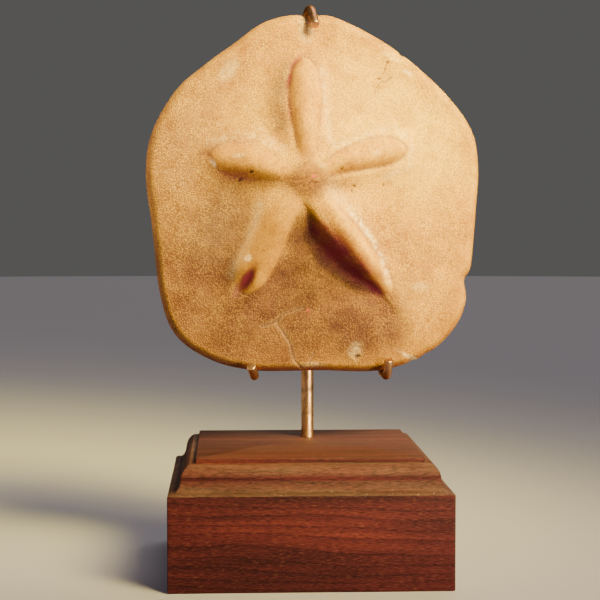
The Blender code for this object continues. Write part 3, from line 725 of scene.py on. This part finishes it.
def cradle_path():
    """Crossbar behind the fossil, then at each end down, forwards under the rim and up in front."""
    bar_y = BAR_Y / MM
    corners = [LEFT_TIP, (CRADLE_LEFT, LEFT_BEND_Y, CRADLE_LOW), (CRADLE_LEFT, bar_y, CRADLE_LOW),
               (CRADLE_LEFT, bar_y, CROSSBAR_HIGH), (CRADLE_RIGHT, bar_y, CROSSBAR_HIGH),
               (CRADLE_RIGHT, bar_y, CRADLE_LOW), (CRADLE_RIGHT, RIGHT_BEND_Y, CRADLE_LOW), RIGHT_TIP]
    return bend_path([[value * MM for value in corner] for corner in corners], CRADLE_BEND, 14)


def build_braze(name, node):
    """A solidified bead of braze, slumped and a little lumpy, that wraps the two bars it joins."""
    low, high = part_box(node)
    centre = (low + high) / 2
    half = (high - low) / 2
    builder = bmesh.new()
    bmesh.ops.create_uvsphere(builder, u_segments=64, v_segments=32, radius=1.0)
    for vertex in builder.verts:
        place = vertex.co.copy()
        ripple = noise.noise(place * 2.6 + centre * 400) * 0.05 + noise.noise(place * 7.0) * 0.02
        shrink = 0.97 - abs(ripple)
        vertex.co = Vector((centre.x + place.x * half.x * shrink, centre.y + place.y * half.y * shrink,
                            centre.z + place.z * half.z * shrink))
    return new_piece(name, builder, sharp_angle=60)


# ------------------------ materials

class Nodes:
    """Short names for building a material's node tree."""

    def __init__(self, name):
        self.material = bpy.data.materials.new(name)
        self.material.use_nodes = True
        self.tree = self.material.node_tree
        self.shader = self.tree.nodes["Principled BSDF"]

    def add(self, kind, inputs=(), **settings):
        node = self.tree.nodes.new("ShaderNode" + kind)
        for key, value in settings.items():
            setattr(node, key, value)
        for key, value in dict(inputs).items():
            if isinstance(value, bpy.types.NodeSocket):
                self.tree.links.new(value, node.inputs[key])
            else:
                node.inputs[key].default_value = value
        return node

    def place(self):
        return self.add("TexCoord").outputs["Object"]

    def noise(self, vector, scale, detail=3.0, roughness=0.55):
        inputs = {"Vector": vector, "Scale": scale, "Detail": detail, "Roughness": roughness}
        return self.add("TexNoise", inputs).outputs["Fac"]

    def ramp(self, value, stops):
        """Colours or greys at positions from 0 to 1."""
        node = self.add("ValToRGB", {"Fac": value})
        elements = node.color_ramp.elements
        while len(elements) < len(stops):
            elements.new(0.5)
        for element, (position, colour) in zip(elements, stops):
            if isinstance(colour, (int, float)):
                colour = (colour, colour, colour)
            element.position = position
            element.color = (*colour, 1.0)
        return node.outputs["Color"]

    def mix(self, factor, first, second, blend="MIX"):
        node = self.add("Mix", {"Factor": factor}, data_type="RGBA", blend_type=blend)
        for index, value in ((6, first), (7, second)):
            if isinstance(value, bpy.types.NodeSocket):
                self.tree.links.new(value, node.inputs[index])
            else:
                node.inputs[index].default_value = (*value, 1.0)
        return node.outputs[2]

    def math(self, operation, first, second=0.0, clamp=False):
        node = self.add("Math", {0: first, 1: second}, operation=operation)
        node.use_clamp = clamp
        return node.outputs[0]

    def times(self, first, second):
        return self.math("MULTIPLY", first, second)

    def lay(self, colour, amount, strength, paint, blend="MIX"):
        """Lay a paint over a colour as far as a mask, given by name, or another value says."""
        if isinstance(amount, str):
            amount = self.mask(amount)
        return self.mix(self.times(amount, strength), colour, paint, blend)

    def vector(self, operation, first, second=(0.0, 0.0, 0.0)):
        node = self.add("VectorMath", {0: first, 1: second}, operation=operation)
        return node.outputs["Value" if operation == "LENGTH" else "Vector"]

    def slope(self, value, start, end, low=0.0, high=1.0, curve="LINEAR"):
        """From low to high as a value goes from start to end."""
        inputs = {0: value, 1: start, 2: end, 3: low, 4: high}
        return self.add("MapRange", inputs, interpolation_type=curve).outputs[0]

    def fade(self, value, start, end):
        return self.slope(value, start, end, curve="SMOOTHSTEP")

    def stretch(self, vector, scale):
        return self.add("Mapping", {"Vector": vector, "Scale": scale}).outputs[0]

    def mask(self, name):
        return self.add("Attribute", attribute_name=name).outputs["Fac"]

    def bump(self, height, distance, strength=1.0, normal=None):
        inputs = {"Height": height, "Distance": distance, "Strength": strength}
        if normal is not None:
            inputs["Normal"] = normal
        return self.add("Bump", inputs).outputs["Normal"]

    def surface(self, **sockets):
        names = {"colour": "Base Color", "roughness": "Roughness", "normal": "Normal",
                 "metallic": "Metallic", "specular": "Specular IOR Level", "tint": "Specular Tint"}
        for key, value in sockets.items():
            socket = self.shader.inputs[names[key]]
            if isinstance(value, bpy.types.NodeSocket):
                self.tree.links.new(value, socket)
            elif isinstance(value, tuple):
                socket.default_value = (*value, 1.0)
            else:
                socket.default_value = value
        return self.material


# Linear colours of the stone, of what lies on it, and of the shade and light painted on it.
GREYED_AND_SHADED = (0.345, 0.168, 0.078)
CREAM_AND_LIT = (0.96, 0.56, 0.005)
EARTH_AND_SHADE_COLOUR = (0.17, 0.06, 0.036)
GREY_SHADE_COLOUR = (0.29, 0.17, 0.12)
RUBBED = (0.52, 0.215, 0.012)
PETAL = (0.66, 0.305, 0.004)
CREST = (0.85, 0.5, 0.03)
HOLLOW_EARTH_AND_SHADE = (0.22, 0.078, 0.064)
BOSS = (0.97, 0.595, 0.02)
BACK_BOSS = (0.8, 0.56, 0.34)
DIRT_AND_SHADE = (0.115, 0.034, 0.04)
PETAL_PORE = (0.26, 0.1, 0.02)
PAINTED_SHADE_TINT = (0.34, 0.29, 0.5)
PAINTED_SHADOW_RED = (0.2, 0.012, 0.04)
RED_SPECK = (0.55, 0.045, 0.03)
PIT_DIRT_AND_SHADE = (0.05, 0.012, 0.008)
CHALK_AND_PAINTED_LIGHT = (0.86, 0.66, 0.4)


def stone_material():
    """Honey-coloured limestone, studded all over with tubercles under a millimetre apart."""
    nodes = Nodes("fossil_stone")
    place = nodes.place()
    apart = nodes.add("SeparateXYZ", {0: place})
    blotches = nodes.noise(place, 34.0, 5.0, 0.62)
    colour = nodes.ramp(blotches, [(0.32, (0.47, 0.205, 0.028)), (0.5, (0.65, 0.305, 0.028)),
                                   (0.66, (0.78, 0.41, 0.022))])
    # Greyer and darker to the left, creamier and brighter at the upper right: the stone's tone with
    # painted shade and painted light. Earth and painted shade lie low and between the lower petals.
    left = nodes.fade(apart.outputs["X"], -0.005, -0.055)
    colour = nodes.lay(colour, left, 0.65, GREYED_AND_SHADED)
    right = nodes.fade(apart.outputs["X"], -0.01, 0.04)
    high = nodes.fade(apart.outputs["Z"], 0.12, 0.17)
    cream_and_lit = nodes.times(right, high)
    colour = nodes.lay(colour, cream_and_lit, 0.7, CREAM_AND_LIT)
    patches = nodes.ramp(nodes.noise(place, 60.0, 5.0, 0.65), [(0.3, 0.6), (0.62, 1.0)])
    earth_and_shade = nodes.times(nodes.mask("earth_and_shade"), patches)
    colour = nodes.mix(earth_and_shade, colour, EARTH_AND_SHADE_COLOUR)
    # Painted grey shade on the flank of the top petal and the lower left.
    grey_shade = nodes.times(nodes.mask("grey_shade"), patches)
    colour = nodes.lay(colour, grey_shade, 0.8, GREY_SHADE_COLOUR)
    # The rim is rubbed a little darker and more orange than the rest.
    colour = nodes.lay(colour, "edge", 0.85, RUBBED)
    # Petals are a little browner and their crests are worn pale; hollows are darkened with earth and
    # painted shade.
    smooth = nodes.mask("smooth")
    colour = nodes.lay(colour, smooth, 0.7, PETAL)
    colour = nodes.lay(colour, "crest", 0.25, CREST)
    colour = nodes.lay(colour, "hollow_earth_and_shade", 0.55, HOLLOW_EARTH_AND_SHADE)

    # The back was never cleaned as far: a duller, greyer tan.
    behind = nodes.fade(apart.outputs["Y"], 0.004, 0.0095)
    colour = nodes.lay(colour, behind, 0.85,
                       nodes.ramp(blotches, [(0.34, (0.36, 0.195, 0.095)), (0.62, (0.6, 0.375, 0.205))]))

    # Tubercles: pale bosses in darker gaps.
    cells = nodes.add("TexVoronoi", {"Vector": place, "Scale": 1450.0, "Randomness": 0.9})
    boss = nodes.ramp(cells.outputs["Distance"], [(0.0, 1.0), (0.3, 0.8), (0.58, 0.0)])
    rough_amount = nodes.math("SUBTRACT", 1.0, nodes.times(smooth, 0.6))
    boss = nodes.times(boss, rough_amount)
    grain = nodes.noise(place, 2200.0, 2.0, 0.6)
    clusters = nodes.ramp(nodes.noise(place, 170.0, 5.0, 0.65), [(0.38, 0.1), (0.62, 1.0)])
    # Fewer pale bosses where the earth and painted shade lie.
    less_on_earth_and_shade = nodes.math("SUBTRACT", 0.6, nodes.times(nodes.mask("earth_and_shade"), 0.36))
    boss_light = nodes.times(nodes.times(boss, clusters), less_on_earth_and_shade)
    boss_colour = nodes.mix(behind, BOSS, BACK_BOSS)
    rubbed = nodes.math("SUBTRACT", 1.0, nodes.times(nodes.mask("edge"), 0.75))
    colour = nodes.mix(nodes.times(boss_light, rubbed), colour, boss_colour)
    gaps = nodes.ramp(cells.outputs["Distance"], [(0.38, 1.0), (0.8, 0.5)])
    colour = nodes.lay(colour, rough_amount, 0.45, gaps, "MULTIPLY")
    speck = nodes.ramp(grain, [(0.3, 0.35), (0.58, 1.0)])
    colour = nodes.mix(0.7, colour, speck, "MULTIPLY")

    # Dark specks of dirt, also painted shade in the middle and under the left petal.
    speckle = nodes.ramp(nodes.noise(place, 900.0, 3.0, 0.7), [(0.4, 1.0), (0.62, 0.1)])
    fine_dark = nodes.times(nodes.mask("dark"), speckle)
    colour = nodes.lay(colour, fine_dark, 0.9, DIRT_AND_SHADE)
    mottle = nodes.ramp(nodes.noise(place, 130.0, 6.0, 0.7), [(0.36, (0.62, 0.52, 0.44)), (0.56, 1.0)])
    colour = nodes.mix(0.6, colour, mottle, "MULTIPLY")
    petal_pores = nodes.ramp(nodes.noise(place, 640.0, 2.0), [(0.34, 1.0), (0.43, 0.0)])
    petal_pores = nodes.times(smooth, petal_pores)
    colour = nodes.lay(colour, petal_pores, 0.5, PETAL_PORE)
    # Painted shade, laid as a darker film where the mask says.
    painted_shade = nodes.times(nodes.mask("painted_shade"), patches)
    colour = nodes.mix(painted_shade, colour, PAINTED_SHADE_TINT, "MULTIPLY")
    # Painted shadow, deep red-brown, on the steep flanks and along the lower rim.
    painted_shadow_noise = nodes.ramp(nodes.noise(place, 220.0, 4.0), [(0.25, 0.7), (0.55, 1.0)])
    painted_shadow = nodes.times(nodes.mask("painted_shadow"), painted_shadow_noise)
    colour = nodes.lay(colour, painted_shadow, 0.95, PAINTED_SHADOW_RED)
    colour = nodes.lay(colour, "red", 0.9, RED_SPECK)
    # Pits and cracks darkened: dirt and painted shade.
    colour = nodes.lay(colour, "pit", 0.9, PIT_DIRT_AND_SHADE)
    # Chalk, pale chips and crack lips, and painted light over the hook's shadow.
    crumbs = nodes.ramp(nodes.noise(place, 700.0, 4.0, 0.7), [(0.35, 0.35), (0.6, 1.0)])
    colour = nodes.mix(nodes.times(nodes.mask("pale"), crumbs), colour, CHALK_AND_PAINTED_LIGHT)

    bumps = nodes.bump(boss, 0.00013)
    normal = nodes.bump(grain, 0.00008, normal=bumps)
    return nodes.surface(colour=colour, roughness=0.8, normal=normal, specular=0.25)


# Linear colours of the wood, where it is not the plain stain, and of the light and shade painted on it.
GOLDEN_FIGURE_AND_LIGHT = (0.11, 0.06, 0.039)
END_GRAIN_AND_SHADE = (0.045, 0.004, 0.004)
LIGHT_FLECK = (0.17, 0.062, 0.038)
KNOT = (0.02, 0.003, 0.003)
DUST = (0.62, 0.56, 0.48)


def wood_material():
    """Dark stained walnut: growth rings round an axis along X, cut by the block's faces."""
    nodes = Nodes("stained_walnut")
    place = nodes.place()
    apart = nodes.add("SeparateXYZ", {0: place})
    facing = nodes.add("SeparateXYZ", {0: nodes.add("NewGeometry").outputs["Normal"]})
    shifted = nodes.add("Mapping", {"Vector": place, "Location": (0.0, 0.02, 0.155)}).outputs[0]
    long_place = nodes.stretch(place, (6.0, 30.0, 30.0))
    wander = nodes.noise(long_place, 1.0, 3.0, 0.5)
    across = nodes.vector("MULTIPLY", shifted, (0.0, 1.0, 1.0))
    radius = nodes.vector("LENGTH", across)
    wavy = nodes.math("ADD", radius, nodes.times(wander, 0.022))
    turns = nodes.math("FRACT", nodes.times(wavy, 260.0))
    ring = nodes.ramp(turns, [(0.0, 0.3), (0.6, 0.5), (0.92, 1.0), (1.0, 0.3)])
    broad_place = nodes.stretch(place, (9.0, 130.0, 130.0))
    broad = nodes.noise(broad_place, 1.0, 4.0, 0.6)
    tone = nodes.math("ADD", nodes.times(ring, 0.22), nodes.times(broad, 0.78))
    colour = nodes.ramp(tone, [(0.32, (0.1, 0.018, 0.0165)), (0.48, (0.057, 0.0085, 0.0105)),
                               (0.66, (0.026, 0.0037, 0.0056))])
    # Up-facing wood is painted lighter and golden, as if lit from above, less so on the top, with a
    # golden flame figure; end grain is darker, partly the stain it drank and partly painted shade.
    flame_place = nodes.stretch(place, (30.0, 260.0, 260.0))
    flame = nodes.ramp(nodes.noise(flame_place, 1.0, 4.0, 0.65), [(0.3, 0.25), (0.62, 1.0)])
    upward = nodes.slope(facing.outputs["Z"], 0.1, 0.75)
    low_part = nodes.slope(apart.outputs["Z"], 0.0465, 0.045, 0.55, 1.0)
    golden_figure_and_light = nodes.times(nodes.times(upward, flame), low_part)
    colour = nodes.lay(colour, golden_figure_and_light, 0.8, GOLDEN_FIGURE_AND_LIGHT)
    end_grain = nodes.math("ABSOLUTE", facing.outputs["X"])
    colour = nodes.lay(colour, end_grain, 0.7, END_GRAIN_AND_SHADE)
    # Fine pores and flecks.
    pore_place = nodes.stretch(place, (420.0, 2600.0, 2600.0))
    pores = nodes.noise(pore_place, 1.0, 2.0, 0.6)
    fleck = nodes.ramp(pores, [(0.34, 0.25), (0.52, 1.0), (0.7, 1.0)])
    colour = nodes.mix(0.75, colour, fleck, "MULTIPLY")
    light_fleck = nodes.ramp(pores, [(0.58, 0.0), (0.74, 1.0)])
    colour = nodes.lay(colour, light_fleck, 0.4, LIGHT_FLECK)
    # Knot near the left end of the front moulding, and dust caught along the arris and on the top.
    from_knot = nodes.vector("SUBTRACT", place, (-0.0389, -0.0465, 0.0405))
    squeezed = nodes.vector("MULTIPLY", from_knot, (1.0, 0.4, 0.8))
    knot = nodes.vector("LENGTH", squeezed)
    ragged = nodes.math("ADD", nodes.times(knot, 260.0), nodes.noise(place, 600.0, 3.0))
    knot_dark = nodes.ramp(ragged, [(0.42, 0.9), (0.95, 0.0)])
    colour = nodes.mix(knot_dark, colour, KNOT)
    motes = nodes.ramp(nodes.noise(place, 1500.0, 1.0), [(0.735, 0.0), (0.775, 1.0)])
    above = nodes.slope(apart.outputs["Z"], 0.0343, 0.0349)
    below = nodes.slope(apart.outputs["Z"], 0.0362, 0.0353)
    on_top = nodes.slope(apart.outputs["Z"], 0.0466, 0.0469, high=0.35)
    dusty = nodes.math("MAXIMUM", nodes.times(above, below), on_top)
    colour = nodes.mix(nodes.times(dusty, motes), colour, DUST)
    normal = nodes.bump(pores, 0.00008)
    gloss = nodes.ramp(broad, [(0.3, 0.52), (0.7, 0.64)])
    return nodes.surface(colour=colour, roughness=gloss, normal=normal, specular=0.13)


# Linear colours of the metal: corroded spots, cut ends, and the edge of its reflections.
SPOT = (0.09, 0.03, 0.014)
CUT_END = (0.66, 0.42, 0.22)
BRASS_TINT = (0.62, 0.36, 0.2)


def brass_material(name, colour, roughness, streaks):
    """Bronzed brass: tarnish in patches, fine drawing or file marks, bright cut ends."""
    nodes = Nodes(name)
    place = nodes.place()
    tarnish = nodes.noise(place, 210.0, 5.0, 0.65)
    dull = tuple(0.40 * value for value in colour)
    bright = tuple(min(1.0, 1.35 * value) for value in colour)
    tone = nodes.ramp(tarnish, [(0.34, dull), (0.52, colour), (0.72, bright)])
    spots = nodes.ramp(nodes.noise(place, 900.0, 3.0, 0.6), [(0.6, 0.0), (0.72, 1.0)])
    tone = nodes.mix(nodes.times(spots, 0.55), tone, SPOT)
    tone = nodes.mix(nodes.times(nodes.mask("cut"), 0.6), tone, CUT_END)
    marks_place = nodes.stretch(place, streaks)
    marks = nodes.noise(marks_place, 1.0, 3.0, 0.6)
    gloss = nodes.ramp(tarnish, [(0.35, min(1.0, roughness + 0.16)), (0.62, roughness)])
    normal = nodes.bump(marks, 0.00005, normal=nodes.bump(tarnish, 0.00006))
    return nodes.surface(colour=tone, roughness=gloss, metallic=1.0, normal=normal, tint=BRASS_TINT)


# ------------------------ pieces

def finish_piece(piece, material, node):
    piece.data.materials.append(material)
    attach(piece, "root")
    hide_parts(node)


fossil, fossil_points = build_fossil()
paint_masks(fossil, fossil_points)
finish_piece(fossil, stone_material(), "sea_urchin_fossil")
bar_brass = brass_material("bar_brass", (0.44, 0.23, 0.145), 0.32, (900.0, 900.0, 900.0))
post_brass = brass_material("post_brass", (0.76, 0.44, 0.2), 0.32, (2600.0, 2600.0, 70.0))
braze_brass = brass_material("braze_metal", (0.58, 0.38, 0.17), 0.42, (700.0, 700.0, 700.0))
post_path = [Vector((POST_X, POST_Y, height * MM)) for height in POST_STATIONS]
post_path.append(Vector((POST_X, POST_Y, post_high.z)))
finish_piece(build_base(), wood_material(), "wood_base")
for name, path, radius, sides, material, slot, node in (
        ("post_bar", post_path, POST_RADIUS, POST_SIDES, post_brass, "post_brass", "brass_post"),
        ("hook_bar", hook_path(), BAR_RADIUS, BAR_SIDES, bar_brass, "bar_brass", "top_hook"),
        ("cradle_bar", cradle_path(), BAR_RADIUS, BAR_SIDES, bar_brass, "bar_brass", "lower_cradle")):
    finish_piece(sweep_bar(name, path, radius, sides), material, node)
for name, node in (("hook_bead", "hook_braze"), ("cradle_bead", "cradle_braze")):
    finish_piece(build_braze(name, node), braze_brass, node)


# ------------------------ floor, light and camera

def make_floor():
    builder = bmesh.new()
    bmesh.ops.create_circle(builder, cap_ends=True, segments=96, radius=4.0)
    mesh = bpy.data.meshes.new("floor")
    builder.to_mesh(mesh)
    builder.free()
    floor = add_object("floor", mesh)
    nodes = Nodes("floor_paint")
    mesh.materials.append(nodes.surface(colour=(0.36, 0.345, 0.4), roughness=0.9))


def new_light(name, kind, power, colour, place, target):
    """A lamp in the scene, pointed from its place to its target."""
    light = bpy.data.lights.new(name, kind)
    light.energy = power
    light.color = colour
    lamp = add_object(name, light)
    lamp.location = place
    lamp.rotation_euler = (Vector(target) - Vector(place)).to_track_quat("-Z", "Y").to_euler()
    return light


def area_light(name, place, target, size, power, colour, spread=180.0):
    light = new_light(name, "AREA", power, colour, place, target)
    light.spread = math.radians(spread)
    light.shape = "DISK"
    light.size = size


def spot_light(name, place, target, radius, cone, power, colour):
    light = new_light(name, "SPOT", power, colour, place, target)
    light.spot_size = math.radians(cone)
    light.spot_blend = 1.0
    light.shadow_soft_size = radius


def sun_light(name, direction, angle, strength, colour):
    light = new_light(name, "SUN", strength, colour, direction, (0.0, 0.0, 0.0))
    light.angle = math.radians(angle)


def make_lights():
    middle = (0.0, 0.0, 0.13)
    key_place = (0.289, -0.321, 0.487)
    area_light("key", key_place, (0.02, 0.0, 0.18), 0.4, 2.05, (1.0, 0.8, 0.36), 60.0)
    spot_light("key spot", key_place, (0.05, 0.0, 0.225), 0.19, 24.0, 170.0, (1.0, 0.86, 0.12))
    area_light("fill", (-0.85, -0.75, 0.72), middle, 0.9, 1.25, (0.98, 0.72, 0.98))
    spot_light("rim", (-0.8, 0.03, 0.34), (-0.06, 0.0, 0.16), 0.05, 9.0, 45.0, (1.0, 0.72, 0.42))
    area_light("low strip", (0.5, -0.55, 0.09), (0.0, 0.0, 0.06), 0.1, 0.28, (1.0, 0.86, 0.62), 40.0)
    sun_light("back", (0.25, 0.55, 0.85), 40.0, 1.2, (1.0, 0.94, 0.86))
    world = bpy.data.worlds.new("studio")
    world.use_nodes = True
    background = world.node_tree.nodes["Background"]
    background.inputs["Color"].default_value = (0.8, 0.79, 0.77, 1.0)
    background.inputs["Strength"].default_value = 0.12
    bpy.context.scene.world = world


def make_camera():
    camera_data = bpy.data.cameras.new("camera")
    camera_data.lens = 96.0
    camera_data.sensor_width = 36.0
    camera = add_object("camera", camera_data)
    camera.location = (-29.7 * MM, -616.3 * MM, 128.9 * MM)
    aim = Vector((0.045, 1.0, -0.0431))
    camera.rotation_euler = aim.to_track_quat("-Z", "Y").to_euler()
    bpy.context.scene.camera = camera


make_floor()
make_lights()
make_camera()

bpy.context.view_layer.update()
